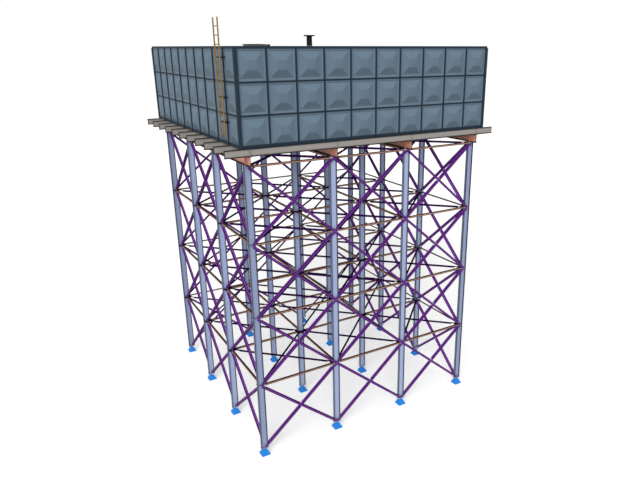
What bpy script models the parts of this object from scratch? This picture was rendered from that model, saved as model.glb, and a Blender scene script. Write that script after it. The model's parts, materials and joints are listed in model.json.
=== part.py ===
"""Steel water tower: a tank of pressed panels on a braced tower of sixteen columns.

Metres, +Z up. The origin is on the ground under the middle of the tank. X runs along the
tank's front face, and Y runs from the front to the back.
"""
import math

import bmesh
import bpy
from mathutils import Matrix, Vector

# Driving dimensions of the tank
PANEL = 1.22
PANELS_ACROSS = 10
PANELS_UP = 3
PLATE = 0.02
WALL = 0.03
PRESS_BORDER = 0.075
PRESS_SLOPE = 0.315
PRESS_DEPTH = 0.06

# Driving dimensions of the tower
COLUMN_X = 5.76
COLUMN_Y = 5.73
BAYS = 3
STOREYS = 4
STOREY = 3.28
FOOT_HEIGHT = 0.33
COLUMN_HEIGHT = 13.15

# Rolled and bent sections
GAP = 0.0003
COLUMN_DEPTH = 0.32
COLUMN_FLANGE = 0.14
PRIMARY_DEPTH = 0.40
PRIMARY_FLANGE = 0.18
PRIMARY_LENGTH = 12.32
JOIST_DEPTH = 0.30
JOIST_FLANGE = 0.15
JOIST_LENGTH = 13.54
FLANGE_THICKNESS = 0.018
WEB_THICKNESS = 0.012
BRACE = 0.11
STRUT = 0.09
PLAN_BRACE = 0.075
SHEET_THICKNESS = 0.08
BASE_PLATE = (0.36, 0.18, 0.02)
FOOT_BASE = 0.42
FOOT_TOP = 0.10

# Gusset plates of the plan frames
GUSSET_ALONG_X = 0.30
GUSSET_ALONG_Y = 0.22
CORNER_GUSSET = 0.50
CORNER_GUSSET_TAIL = 0.05

# Ladder on the left wall
LADDER_Y = -4.93
LADDER_STANDOFF = 0.235
LADDER_WIDTH = 0.49
LADDER_FOOT = 0.34
LADDER_TOP = 4.73
STRINGER = (0.06, 0.03)
RUNG_RADIUS = 0.016
RUNG_PITCH = 0.32
RUNG_COUNT = 13
FIRST_RUNG = 0.58
LADDER_ARM = (0.02, 0.045)
LADDER_ARM_HEIGHTS = (0.92, 1.86, 3.32)
BRACKET_BAR = (0.02, 0.04)
BRACKET_BAR_STANDOFF = 0.075

# Roof hatch and vent
HATCH = (-4.55, -4.27)
HATCH_BORE = 0.42
HATCH_NECK = 0.46
HATCH_NECK_HEIGHT = 0.085
HATCH_LID = 0.52
HATCH_LID_THICKNESS = 0.03
LID_CLEARANCE = 0.005
HINGE_OFFSET = 0.57
HINGE_PIN = 0.010
HINGE_BORE = 0.0108
HINGE_PIN_LENGTH = 0.30
EAR_OFFSET = 0.12
EAR_THICKNESS = 0.03
EAR_RADIUS = 0.026
HINGE_BLOCK = 0.17
HINGE_BLOCK_THICKNESS = 0.04
VENT = (-1.516, -3.05)
VENT_BORE = 0.105
VENT_RADIUS = 0.12
VENT_HEIGHT = 0.52
VENT_FLANGE = 0.24
VENT_FLANGE_THICKNESS = 0.03
ROUND_SIDES = 24
PIN_SIDES = 16
SHARP_ANGLE = math.radians(35)

# Levels worked out from the driving dimensions
TANK_HALF = PANEL * PANELS_ACROSS / 2
COLUMN_BASE = FOOT_HEIGHT + BASE_PLATE[2]
COLUMN_TOP = FOOT_HEIGHT + COLUMN_HEIGHT
BRACE_BASE = COLUMN_BASE + 0.01
TOP_STRUT = COLUMN_TOP - GAP - STRUT / 2
LEVELS = [FOOT_HEIGHT + STOREY * k for k in range(1, STOREYS)] + [TOP_STRUT]
PRIMARY_BASE = COLUMN_TOP + GAP
JOIST_BASE = PRIMARY_BASE + PRIMARY_DEPTH + GAP
TANK_BASE = JOIST_BASE + JOIST_DEPTH + GAP
ROOF_TOP = TANK_BASE + PANEL * PANELS_UP
WALL_BASE = TANK_BASE + PLATE + GAP
WALL_TOP = ROOF_TOP - PLATE - GAP
HINGE_Z = ROOF_TOP + GAP + HATCH_NECK_HEIGHT + LID_CLEARANCE + HATCH_LID_THICKNESS / 2
LADDER_SIDES = (LADDER_Y - LADDER_WIDTH / 2, LADDER_Y + LADDER_WIDTH / 2)

COLUMN_XS = [COLUMN_X * (2 * i / BAYS - 1) for i in range(BAYS + 1)]
COLUMN_YS = [COLUMN_Y * (2 * j / BAYS - 1) for j in range(BAYS + 1)]
COLUMN_LETTERS = "ABCD"


def clear_scene():
    """Remove every object, so that the script gives the same result each time."""
    for old in list(bpy.data.objects):
        bpy.data.objects.remove(old, do_unlink=True)


def collection(name):
    """A new collection in the scene."""
    group = bpy.data.collections.new(name)
    bpy.context.scene.collection.children.link(group)
    return group


def steel(name, colour, roughness=0.5, metallic=0.1):
    """A painted-steel material."""
    material = bpy.data.materials.new(name)
    material.use_nodes = True
    shader = material.node_tree.nodes["Principled BSDF"]
    shader.inputs["Base Color"].default_value = (*colour, 1.0)
    shader.inputs["Roughness"].default_value = roughness
    shader.inputs["Metallic"].default_value = metallic
    return material


clear_scene()
PARTS = collection("water_tower")
CUTTERS = collection("cutters")
COLUMN_PAINT = steel("column_paint", (0.26, 0.32, 0.50))
BRACE_PAINT = steel("brace_paint", (0.16, 0.04, 0.30))
PLAN_PAINT = steel("strut_paint", (0.36, 0.17, 0.12))
PRIMARY_PAINT = steel("primary_beam_paint", (0.52, 0.19, 0.13))
JOIST_PAINT = steel("joist_paint", (0.33, 0.30, 0.26))
TANK_PAINT = steel("tank_paint", (0.15, 0.22, 0.30))
LADDER_PAINT = steel("ladder_paint", (0.43, 0.24, 0.04))
FITTING_PAINT = steel("fitting_paint", (0.02, 0.03, 0.04))


def add_object(name, data, material, group=None):
    """Put mesh or curve data into the collection as a named object."""
    obj = bpy.data.objects.new(name, data)
    (group or PARTS).objects.link(obj)
    if material and not data.materials:
        data.materials.append(material)
    return obj


def box_data(size, centre=(0.0, 0.0, 0.0)):
    """A box as a bmesh of its own, centred on a point."""
    shape = bmesh.new()
    place = Matrix.Translation(centre) @ Matrix.Diagonal((*size, 1.0))
    bmesh.ops.create_cube(shape, size=1.0, matrix=place)
    return shape


def round_data(radius, depth, centre, sides, axis="Z", top_radius=None):
    """A cylinder or a cone along an axis, centred on a point."""
    shape = bmesh.new()
    turn = Matrix.Rotation(math.pi / 2, 4, "X") if axis == "Y" else Matrix.Identity(4)
    bmesh.ops.create_cone(
        shape, cap_ends=True, segments=sides, radius1=radius,
        radius2=radius if top_radius is None else top_radius, depth=depth,
        matrix=Matrix.Translation(centre) @ turn)
    return shape


def to_mesh(shape, name):
    """Turn a bmesh into mesh data."""
    mesh = bpy.data.meshes.new(name)
    shape.to_mesh(mesh)
    shape.free()
    return mesh


def cutter(name, mesh):
    """A helper solid that only joins or cuts others."""
    obj = add_object(name, mesh, None, CUTTERS)
    obj.hide_render = True
    obj.display_type = "WIRE"
    return obj


def combine(name, base, others, operation="UNION"):
    """Join solids to a base solid, or cut them from it, and return the result's mesh."""
    body = cutter(name + "_base", base)
    for number, mesh in enumerate(others):
        boolean = body.modifiers.new("join_%d" % number, "BOOLEAN")
        boolean.operation = operation
        boolean.solver = "EXACT"
        boolean.object = cutter("%s_piece_%d" % (name, number), mesh)
    return applied(body)


def applied(obj, smooth=True):
    """The mesh of an object with its modifiers applied, shaded smooth where it is round."""
    bpy.context.view_layer.update()
    evaluated = obj.evaluated_get(bpy.context.evaluated_depsgraph_get())
    mesh = bpy.data.meshes.new_from_object(evaluated)
    if smooth:
        mesh.shade_smooth()
        mesh.set_sharp_from_angle(angle=SHARP_ANGLE)
    return mesh


def flat_shape(name, outlines, thickness):
    """A plate from closed outlines: the first is its edge, and the rest are its holes."""
    curve = bpy.data.curves.new(name, "CURVE")
    curve.dimensions = "2D"
    curve.fill_mode = "BOTH"
    curve.extrude = thickness / 2
    for outline in outlines:
        spline = curve.splines.new("POLY")
        spline.points.add(len(outline) - 1)
        for point, (u, v) in zip(spline.points, outline):
            point.co = (u, v, 0.0, 1.0)
        spline.use_cyclic_u = True
    return curve


def i_section(depth, flange):
    """Outline of an I-section, with its web along the first axis."""
    half_depth = depth / 2
    half_flange = flange / 2
    half_web = WEB_THICKNESS / 2
    inner = half_depth - FLANGE_THICKNESS
    quarter = [(half_depth, half_flange), (inner, half_flange), (inner, half_web)]
    left = [(-u, v) for u, v in reversed(quarter)]
    upper = quarter + left
    return upper + [(-u, -v) for u, v in upper]


def curve_mesh(curve):
    """The closed mesh of a curve."""
    holder = bpy.data.objects.new(curve.name, curve)
    CUTTERS.objects.link(holder)
    mesh = applied(holder, smooth=False)
    bpy.data.objects.remove(holder, do_unlink=True)
    shape = bmesh.new()
    shape.from_mesh(mesh)
    bmesh.ops.remove_doubles(shape, verts=shape.verts, dist=0.00005)
    bmesh.ops.recalc_face_normals(shape, faces=shape.faces)
    shape.to_mesh(mesh)
    shape.free()
    return mesh


def make_columns():
    """Sixteen I-section columns, each with its base plate and its pyramid foot."""
    shaft_height = COLUMN_TOP - COLUMN_BASE
    shaft = curve_mesh(flat_shape("shaft", [i_section(COLUMN_DEPTH, COLUMN_FLANGE)],
                                  shaft_height))
    shaft.transform(Matrix.Translation((0, 0, (COLUMN_BASE + COLUMN_TOP) / 2)))
    overlap = 0.005
    plate = to_mesh(box_data((BASE_PLATE[0], BASE_PLATE[1], BASE_PLATE[2] + overlap),
                             (0, 0, COLUMN_BASE - (BASE_PLATE[2] - overlap) / 2)), "plate")
    foot_shape = round_data(FOOT_BASE / math.sqrt(2), FOOT_HEIGHT + overlap,
                            (0, 0, (FOOT_HEIGHT + overlap) / 2), 4,
                            top_radius=FOOT_TOP / math.sqrt(2))
    bmesh.ops.rotate(foot_shape, verts=foot_shape.verts,
                     matrix=Matrix.Rotation(math.pi / 4, 3, "Z"))
    mesh = combine("column", plate, [to_mesh(foot_shape, "foot"), shaft])
    mesh.materials.clear()
    for i, x in enumerate(COLUMN_XS):
        for j, y in enumerate(COLUMN_YS):
            name = "column_%s%d" % (COLUMN_LETTERS[i], j + 1)
            add_object(name, mesh, COLUMN_PAINT).location = (x, y, 0)


def line_left_of(start, end, distance):
    """The line from start to end, moved to its left: a point and a direction."""
    along = (end - start).normalized()
    return start + Vector((-along.y, along.x)) * distance, along


def meet(first, second):
    """Where two lines cross."""
    (p, r), (q, s) = first, second
    share = (q - p).cross(s) / r.cross(s)
    return p + r * share


def ring(lines):
    """The corners of the polygon whose sides lie on these lines, in order."""
    return [meet(lines[k - 1], lines[k]) for k in range(len(lines))]


def inset(corners, distances):
    """A polygon with each side moved inwards. Side k runs from corner k to the next."""
    count = len(corners)
    lines = [line_left_of(corners[k], corners[(k + 1) % count], distances[k])
             for k in range(count)]
    return ring(lines)


def notch(start, end, apex, reach):
    """Three outline points around an open cell between two braces.

    The open side runs from start to end, and the sheet ends at a distance reach inside it.
    """
    near, far, tip = inset([start, end, apex], [reach, BRACE / 2, BRACE / 2])
    return [near, tip, far]


def braced_bay(width, levels, reach, top_strut):
    """Outline and holes of one bay's flat sheet: an X brace for each storey, and the struts.

    The sheet is width wide between its work lines, and ends at reach inside them. Its levels
    are the heights of the work points. Its top is a strut or, without one, the brace ends.
    """
    half_strut = STRUT / 2
    half_brace = BRACE / 2
    left = [Vector((-width / 2, v)) for v in levels]
    right = [Vector((width / 2, v)) for v in levels]
    middle = [(left[k] + right[k + 1]) / 2 for k in range(STOREYS)]
    first_u = reach - width / 2
    top_v = levels[-1] + (half_strut if top_strut else 0.0)

    edge = [Vector((first_u, levels[0]))]
    edge += notch(left[0], right[0], middle[0], 0.0)
    edge.append(Vector((-first_u, levels[0])))
    for k in range(STOREYS):
        edge += notch(right[k], right[k + 1], middle[k], reach)
    edge.append(Vector((-first_u, top_v)))
    if not top_strut:
        edge += notch(right[-1], left[-1], middle[-1], 0.0)
    edge.append(Vector((first_u, top_v)))
    for k in reversed(range(STOREYS)):
        edge += notch(left[k + 1], left[k], middle[k], reach)

    widths = [half_strut, half_brace, half_brace]
    holes = [inset([left[k], right[k], middle[k]], widths) for k in range(1, STOREYS)]
    last = STOREYS if top_strut else STOREYS - 1
    holes += [inset([right[k + 1], left[k + 1], middle[k]], widths) for k in range(last)]
    return [edge] + holes


def make_row_bracing():
    """The braced bays of the front and the back, bolted across the column flanges."""
    bay = COLUMN_XS[1] - COLUMN_XS[0]
    outlines = braced_bay(bay, [BRACE_BASE] + LEVELS, GAP / 2, True)
    curve = flat_shape("row_bracing", outlines, SHEET_THICKNESS)
    offset = COLUMN_Y + COLUMN_FLANGE / 2 + GAP + SHEET_THICKNESS / 2
    for side, y in (("front", -offset), ("back", offset)):
        for i in range(BAYS):
            sheet = add_object("%s_bracing_%d" % (side, i + 1), curve, BRACE_PAINT)
            sheet.rotation_euler = (math.pi / 2, 0, 0)
            sheet.location = ((COLUMN_XS[i] + COLUMN_XS[i + 1]) / 2, y, 0)


def make_side_bracing():
    """The braced bays of the left and right sides, set between the column webs."""
    levels = [BRACE_BASE] + LEVELS[:-1] + [COLUMN_TOP - GAP]
    bay = COLUMN_YS[1] - COLUMN_YS[0]
    outlines = braced_bay(bay, levels, WEB_THICKNESS / 2 + GAP, False)
    curve = flat_shape("side_bracing", outlines, SHEET_THICKNESS)
    for side, x in (("left", -COLUMN_X), ("right", COLUMN_X)):
        for j in range(BAYS):
            sheet = add_object("%s_bracing_%d" % (side, j + 1), curve, BRACE_PAINT)
            sheet.rotation_euler = (math.pi / 2, 0, math.pi / 2)
            sheet.location = (x, (COLUMN_YS[j] + COLUMN_YS[j + 1]) / 2, 0)


def plan_cell(start, end, apex, gusset):
    """A closed cell beside a strut that runs from start to end, cut off at both gussets."""
    along = (end - start).normalized()
    across = Vector((-along.y, along.x))
    return ring([
        line_left_of(start, end, STRUT / 2),
        (end - along * gusset, across),
        line_left_of(end, apex, PLAN_BRACE / 2),
        line_left_of(apex, start, PLAN_BRACE / 2),
        (start + along * gusset, across)])


def plan_outline():
    """Outline and holes of a level's flat frame: inner struts, X braces and gussets."""
    def node(i, j):
        return Vector((COLUMN_XS[i], COLUMN_YS[j]))

    def centre(i, j):
        return (node(i, j) + node(i + 1, j + 1)) / 2

    half = PLAN_BRACE / 2
    side_cut = COLUMN_DEPTH / 2 + GAP
    front_cut = COLUMN_FLANGE / 2 + GAP
    middle = inset([node(0, 2), node(0, 1), centre(0, 1)], [side_cut, half, half])
    left = inset([node(0, 1), node(0, 0), centre(0, 0)], [side_cut, half, half])
    front = inset([node(0, 0), node(1, 0), centre(0, 0)], [front_cut, half, half])
    front_middle = inset([node(1, 0), node(2, 0), centre(1, 0)], [front_cut, half, half])
    corner = node(0, 0)
    gusset_tail = corner + Vector((side_cut, -CORNER_GUSSET_TAIL))
    gusset_end = meet(line_left_of(centre(0, 0), corner, half),
                      (corner + Vector((CORNER_GUSSET, 0)), Vector((0, 1))))
    quarter = [middle[1], left[0], left[2], left[1], gusset_tail, gusset_end, front[2],
               front[1], front_middle[0]]
    tip = front_middle[2]
    side_tip = middle[2]
    right = [Vector((-p.x, p.y)) for p in reversed(quarter)]
    near = quarter + [tip] + right
    back = [Vector((p.x, -p.y)) for p in reversed(near)]
    edge = [side_tip] + near + [Vector((-side_tip.x, side_tip.y))] + back

    holes = []
    for i in range(BAYS):
        for j in range(BAYS):
            low_left, low_right = node(i, j), node(i + 1, j)
            high_left, high_right = node(i, j + 1), node(i + 1, j + 1)
            apex = centre(i, j)
            if j > 0:
                holes.append(plan_cell(low_left, low_right, apex, GUSSET_ALONG_X))
            if j < BAYS - 1:
                holes.append(plan_cell(high_right, high_left, apex, GUSSET_ALONG_X))
            if i < BAYS - 1:
                holes.append(plan_cell(low_right, high_right, apex, GUSSET_ALONG_Y))
            if i > 0:
                holes.append(plan_cell(high_left, low_left, apex, GUSSET_ALONG_Y))
    for i in range(1, BAYS):
        for j in range(1, BAYS):
            x, y = node(i, j)
            holes.append([Vector((x + sx * side_cut, y + sy * front_cut))
                          for sx, sy in ((-1, -1), (1, -1), (1, 1), (-1, 1))])
    return [edge] + holes


def make_plan_frames():
    """The level frames that tie the columns to each other at the top of each storey."""
    curve = flat_shape("plan_frame", plan_outline(), PLAN_BRACE)
    for number, z in enumerate(LEVELS):
        add_object("level_%d_frame" % (number + 1), curve, PLAN_PAINT).location = (0, 0, z)


def make_beams():
    """Four primary beams along Y on the columns, and eleven joists along X on them."""
    primary = curve_mesh(flat_shape("primary", [i_section(PRIMARY_DEPTH, PRIMARY_FLANGE)],
                                    PRIMARY_LENGTH))
    primary.transform(Matrix.Rotation(math.pi / 2, 4, "Z") @ Matrix.Rotation(math.pi / 2, 4, "Y"))
    joist = curve_mesh(flat_shape("joist", [i_section(JOIST_DEPTH, JOIST_FLANGE)],
                                  JOIST_LENGTH))
    joist.transform(Matrix.Rotation(math.pi / 2, 4, "Y"))
    for number, x in enumerate(COLUMN_XS):
        beam = add_object("primary_beam_%d" % (number + 1), primary, PRIMARY_PAINT)
        beam.location = (x, 0, PRIMARY_BASE + PRIMARY_DEPTH / 2)
    for number in range(PANELS_ACROSS + 1):
        beam = add_object("joist_%02d" % (number + 1), joist, JOIST_PAINT)
        beam.location = (0, PANEL * number - TANK_HALF, JOIST_BASE + JOIST_DEPTH / 2)


def press_height(across, up):
    """How far a panel's pressing stands out at a point inside the panel."""
    inward = min(across, PANEL - across, up, PANEL - up) - PRESS_BORDER
    return PRESS_DEPTH * max(0.0, min(1.0, inward / PRESS_SLOPE))


def wall_mesh(name, half_length):
    """A wall of pressed panels, standing in XZ with its pressings towards -Y.

    Each panel has a flat border, four slopes and a flat middle. The back is flat.
    """
    shape = bmesh.new()
    bmesh.ops.create_grid(shape, x_segments=PANELS_ACROSS, y_segments=PANELS_UP, size=0.5)
    bmesh.ops.scale(shape, verts=shape.verts,
                    vec=(PANEL * PANELS_ACROSS, PANEL * PANELS_UP, 1.0))
    moved = bmesh.ops.extrude_face_region(shape, geom=list(shape.faces))["geom"]
    faces = [item for item in moved if isinstance(item, bmesh.types.BMFace)]
    back = [vert for vert in shape.verts if vert not in moved]
    bmesh.ops.translate(shape, verts=back, vec=(0, 0, -WALL))
    bmesh.ops.recalc_face_normals(shape, faces=shape.faces)
    bmesh.ops.inset_individual(shape, faces=faces, thickness=PRESS_BORDER,
                               use_even_offset=True)
    bmesh.ops.inset_individual(shape, faces=faces, thickness=PRESS_SLOPE, depth=PRESS_DEPTH,
                               use_even_offset=True)
    half_height = (WALL_TOP - WALL_BASE) / 2
    for vert in shape.verts:
        if abs(vert.co.y) > PANEL * PANELS_UP / 2 - 0.001:
            vert.co.y = math.copysign(half_height, vert.co.y)
        if abs(vert.co.x) > TANK_HALF - 0.001:
            vert.co.x = math.copysign(half_length, vert.co.x)
    bmesh.ops.recalc_face_normals(shape, faces=shape.faces)
    mesh = to_mesh(shape, name)
    mesh.transform(Matrix.Rotation(math.pi / 2, 4, "X"))
    return mesh


def make_tank():
    """The floor and roof plates and the four walls of the tank."""
    mid_height = (WALL_BASE + WALL_TOP) / 2
    long_wall = wall_mesh("long_wall", TANK_HALF)
    short_wall = wall_mesh("short_wall", TANK_HALF - WALL - GAP)
    turns = (("tank_wall_front", long_wall, 0), ("tank_wall_right", short_wall, 1),
             ("tank_wall_back", long_wall, 2), ("tank_wall_left", short_wall, 3))
    for name, mesh, quarter_turns in turns:
        wall = add_object(name, mesh, TANK_PAINT)
        angle = quarter_turns * math.pi / 2
        wall.rotation_euler = (0, 0, angle)
        wall.location = (TANK_HALF * math.sin(angle), -TANK_HALF * math.cos(angle), mid_height)
    size = (2 * TANK_HALF, 2 * TANK_HALF, PLATE)
    floor = to_mesh(box_data(size, (0, 0, TANK_BASE + PLATE / 2)), "floor")
    add_object("tank_floor", floor, TANK_PAINT)
    sheet = to_mesh(box_data(size, (0, 0, ROOF_TOP - PLATE / 2)), "roof")
    hatch_hole = to_mesh(round_data(HATCH_BORE, 4 * PLATE, (*HATCH, ROOF_TOP), ROUND_SIDES),
                         "hatch_hole")
    vent_hole = to_mesh(round_data(VENT_BORE, 4 * PLATE, (*VENT, ROOF_TOP), PIN_SIDES),
                        "vent_hole")
    roof = combine("roof", sheet, [hatch_hole, vent_hole], "DIFFERENCE")
    roof.materials.clear()
    add_object("tank_roof", roof, TANK_PAINT)


def make_ladder():
    """A ladder beside the left wall: two stringers joined by round rungs."""
    x = -TANK_HALF - LADDER_STANDOFF
    length = LADDER_TOP - LADDER_FOOT
    mid_z = TANK_BASE + (LADDER_TOP + LADDER_FOOT) / 2
    rungs = []
    for number in range(RUNG_COUNT):
        z = TANK_BASE + FIRST_RUNG + RUNG_PITCH * number
        rungs.append(to_mesh(round_data(RUNG_RADIUS, LADDER_WIDTH, (x, LADDER_Y, z), 6, "Y"),
                             "rung"))
    stringers = [to_mesh(box_data((*STRINGER, length), (x, y, mid_z)), "stringer")
                 for y in LADDER_SIDES]
    mesh = combine("ladder", stringers[0], [stringers[1]] + rungs)
    mesh.materials.clear()
    add_object("ladder", mesh, LADDER_PAINT)


def make_ladder_brackets():
    """Three brackets that hold the ladder off the wall: two arms and a bar between them.

    Each arm runs from the back of its stringer to the pressed face of the wall.
    """
    start = -TANK_HALF - LADDER_STANDOFF + STRINGER[0] / 2 + GAP
    for number, height in enumerate(LADDER_ARM_HEIGHTS):
        z = TANK_BASE + height
        arms = []
        for y in LADDER_SIDES:
            edges_y = [(y + TANK_HALF + s * LADDER_ARM[0] / 2) % PANEL for s in (-1, 1)]
            edges_z = [(height + s * LADDER_ARM[1] / 2) % PANEL for s in (-1, 1)]
            proud = max(press_height(a, b) for a in edges_y for b in edges_z)
            end = -TANK_HALF - proud - GAP
            arms.append(to_mesh(box_data((end - start, *LADDER_ARM), ((end + start) / 2, y, z)),
                                "arm"))
        bar = to_mesh(box_data((BRACKET_BAR[0], LADDER_WIDTH, BRACKET_BAR[1]),
                               (-TANK_HALF - BRACKET_BAR_STANDOFF, LADDER_Y, z)), "bar")
        name = "ladder_bracket_%d" % (number + 1)
        mesh = combine(name, bar, arms)
        mesh.materials.clear()
        add_object(name, mesh, FITTING_PAINT)


def make_hatch():
    """The round neck on the roof with its hinge block and pin, and the hinged lid."""
    x, y = HATCH
    neck_base = ROOF_TOP + GAP
    neck_top = neck_base + HATCH_NECK_HEIGHT
    hinge_x = x + HINGE_OFFSET
    neck = to_mesh(round_data(HATCH_NECK, HATCH_NECK_HEIGHT,
                              (x, y, (neck_base + neck_top) / 2), ROUND_SIDES), "neck")
    bore = to_mesh(round_data(HATCH_BORE, 2 * HATCH_NECK_HEIGHT,
                              (x, y, (neck_base + neck_top) / 2), ROUND_SIDES), "bore")
    tube = combine("neck_tube", neck, [bore], "DIFFERENCE")
    reach_in = HATCH_NECK - 0.02
    block_end = hinge_x + HINGE_BLOCK_THICKNESS / 2
    shelf_top = neck_top - 0.01
    shelf = to_mesh(box_data((block_end - x - reach_in, HINGE_BLOCK, shelf_top - neck_base),
                             ((block_end + x + reach_in) / 2, y,
                              (shelf_top + neck_base) / 2)), "shelf")
    post_top = HINGE_Z + 0.02
    post = to_mesh(box_data((HINGE_BLOCK_THICKNESS, HINGE_BLOCK, post_top - neck_base),
                            (hinge_x, y, (post_top + neck_base) / 2)), "post")
    pin = to_mesh(round_data(HINGE_PIN, HINGE_PIN_LENGTH, (hinge_x, y, HINGE_Z), PIN_SIDES,
                             "Y"), "pin")
    mesh = combine("hatch_neck", tube, [shelf, post, pin])
    mesh.materials.clear()
    add_object("hatch_neck", mesh, FITTING_PAINT)

    disc = to_mesh(round_data(HATCH_LID, HATCH_LID_THICKNESS, (x, y, HINGE_Z), ROUND_SIDES),
                   "disc")
    ears = []
    holes = []
    for side in (-1, 1):
        ear_y = y + side * EAR_OFFSET
        ears.append(to_mesh(box_data((HINGE_OFFSET - HATCH_LID + 0.06, EAR_THICKNESS,
                                      HATCH_LID_THICKNESS),
                                     (hinge_x - (HINGE_OFFSET - HATCH_LID + 0.06) / 2, ear_y,
                                      HINGE_Z)), "ear"))
        ears.append(to_mesh(round_data(EAR_RADIUS, EAR_THICKNESS, (hinge_x, ear_y, HINGE_Z),
                                       PIN_SIDES, "Y"), "ear_end"))
        holes.append(to_mesh(round_data(HINGE_BORE, 2 * EAR_THICKNESS,
                                        (hinge_x, ear_y, HINGE_Z), PIN_SIDES, "Y"), "eye"))
    solid = combine("hatch_lid_solid", disc, ears)
    lid_mesh = combine("hatch_lid", solid, holes, "DIFFERENCE")
    lid_mesh.materials.clear()
    axis = bpy.data.objects.new("hatch_hinge_axis", None)
    PARTS.objects.link(axis)
    axis.location = (hinge_x, y, HINGE_Z)
    lid_mesh.transform(Matrix.Translation((-hinge_x, -y, -HINGE_Z)))
    lid = add_object("hatch_lid", lid_mesh, FITTING_PAINT)
    lid.parent = axis


def make_vent():
    """A short open pipe on the roof, turned with its wide top flange."""
    base = ROOF_TOP + GAP
    top = base + VENT_HEIGHT
    under = top - VENT_FLANGE_THICKNESS
    corners = [(VENT_BORE, top), (VENT_FLANGE, top), (VENT_FLANGE, under),
               (VENT_RADIUS, under), (VENT_RADIUS, base), (VENT_BORE, base)]
    profile = bpy.data.meshes.new("vent_profile")
    edges = [(k, (k + 1) % len(corners)) for k in range(len(corners))]
    profile.from_pydata([(u, 0, v) for u, v in corners], edges, [])
    outline = cutter("vent_outline", profile)
    turn = outline.modifiers.new("turn", "SCREW")
    turn.steps = ROUND_SIDES
    turn.render_steps = ROUND_SIDES
    turn.use_merge_vertices = True
    turn.merge_threshold = 0.0001
    add_object("vent_pipe", applied(outline), FITTING_PAINT).location = (*VENT, 0)


make_columns()
make_row_bracing()
make_side_bracing()
make_plan_frames()
make_beams()
make_tank()
make_ladder()
make_ladder_brackets()
make_hatch()
make_vent()
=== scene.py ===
"""The looks of a steel water tower, built around its construction frame.

Metres, in the frame's axes: X along the front, Y from the front to the back, Z up. A surface
in this script is a pair: an array of points, and an array of faces that gives four corner
numbers each, where a triangle repeats its last corner. A point has three numbers, and may
have a fourth, from 0 to 1, for the painted shade along the edges of a steel section.
"""
import json
import math

import bmesh
import bpy
import numpy as np
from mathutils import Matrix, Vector


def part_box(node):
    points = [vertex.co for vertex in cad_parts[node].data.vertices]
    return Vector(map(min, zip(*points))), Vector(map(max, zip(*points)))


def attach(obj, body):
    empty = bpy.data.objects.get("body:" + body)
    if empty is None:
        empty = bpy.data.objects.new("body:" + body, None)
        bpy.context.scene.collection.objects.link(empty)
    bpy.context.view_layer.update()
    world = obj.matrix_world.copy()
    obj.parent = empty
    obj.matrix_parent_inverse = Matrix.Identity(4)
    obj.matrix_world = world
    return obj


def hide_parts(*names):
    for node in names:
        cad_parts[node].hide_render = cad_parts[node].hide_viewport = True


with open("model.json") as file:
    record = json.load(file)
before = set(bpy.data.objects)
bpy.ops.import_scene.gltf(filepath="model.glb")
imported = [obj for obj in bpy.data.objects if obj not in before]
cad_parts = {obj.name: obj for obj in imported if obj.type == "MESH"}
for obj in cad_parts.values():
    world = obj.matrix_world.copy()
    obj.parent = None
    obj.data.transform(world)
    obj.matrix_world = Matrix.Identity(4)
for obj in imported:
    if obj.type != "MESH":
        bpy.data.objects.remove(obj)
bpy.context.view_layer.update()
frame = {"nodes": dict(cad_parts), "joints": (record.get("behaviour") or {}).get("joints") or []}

# The camera stands where the photograph was taken from
CAMERA_PLACE = (-13.8837, -27.2846, 17.8517)
CAMERA_VIEW = (0.500509, 0.804685, -0.319332)
CAMERA_LENS = 32.861
CAMERA_SHIFT = (-0.0652, 0.00656)

# Soft light: a fill from all round, and a lamp's direction, power and softness in degrees
FILL_LIGHT = 0.48
FLOOR_GLOW = 0.36
LAMP_DIRECTION = (0.61, 0.67, -0.43)
LAMP_POWER = 3.1
LAMP_SOFTNESS = 45.0

# Sections of the steel. Outer and inner are how far the painted shade of an I-section's edges
# also covers the outer faces of its flanges, and its inside
COLUMN = {"depth": 0.32, "flange": 0.14, "thickness": 0.016, "web": 0.010, "root": 0.012,
          "outer": 0.45, "inner": 0.85}
PRIMARY = {"depth": 0.40, "flange": 0.18, "thickness": 0.018, "web": 0.012, "root": 0.015,
           "outer": 0.8, "inner": 1.0}
JOIST = {"depth": 0.30, "flange": 0.15, "thickness": 0.015, "web": 0.010, "root": 0.012,
         "outer": 0.8, "inner": 1.0}
BRACE = {"leg": 0.118, "thickness": 0.010, "root": 0.010}
STRUT = {"leg": 0.086, "thickness": 0.008, "root": 0.008}
PLAN_BRACE = {"leg": 0.105, "thickness": 0.008, "root": 0.008}

# The step by which a flange's outer face falls back, the width of a plate's softened edges,
# and the gap that pieces keep to their neighbours
CROWN = 0.0001
SOFT = 0.002
GAP = 0.0003

# Bands of painted shade: their widths along edges, ends and fillets, the width over which they
# fade, and an angle's bands as shares of its leg
EDGE_BAND = 0.042
END_BAND = 0.035
WEB_BAND = 0.004
EDGE_FADE = 0.004
TOE_BAND = 0.31
HEEL_BAND = 0.30

# Feet, plates and bolts. A gusset's half width is the wedge's start at its work point, and
# grows by the spread's share of the distance from it. A bolt is a radius and a height
FOOT_HEIGHT = 0.33
BASE_PLATE = (0.36, 0.18, 0.02)
GUSSET = 0.010
WEDGE_START = 0.045
WEDGE_SPREAD = 0.80
BOLT = (0.014, 0.011)
SMALL_BOLT = (0.011, 0.009)
ANCHOR_NUT = (0.018, 0.018)

# Braces and struts: the gap between pointed ends, the share of a leg that a cope leaves, how
# far the struts lie above the work points, and the bolts' distances from an end
POINT_GAP = 0.003
STUB = 0.02
STRUT_RISE = 0.028
STRUT_BOLTS = (0.03, 0.08)
BRACE_BOLTS = (0.035, 0.095)
POINTED_BOLTS = (0.12, 0.18)
BRIDGE_BOLTS = (-0.14, -0.10, 0.0, 0.10, 0.14)

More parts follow.
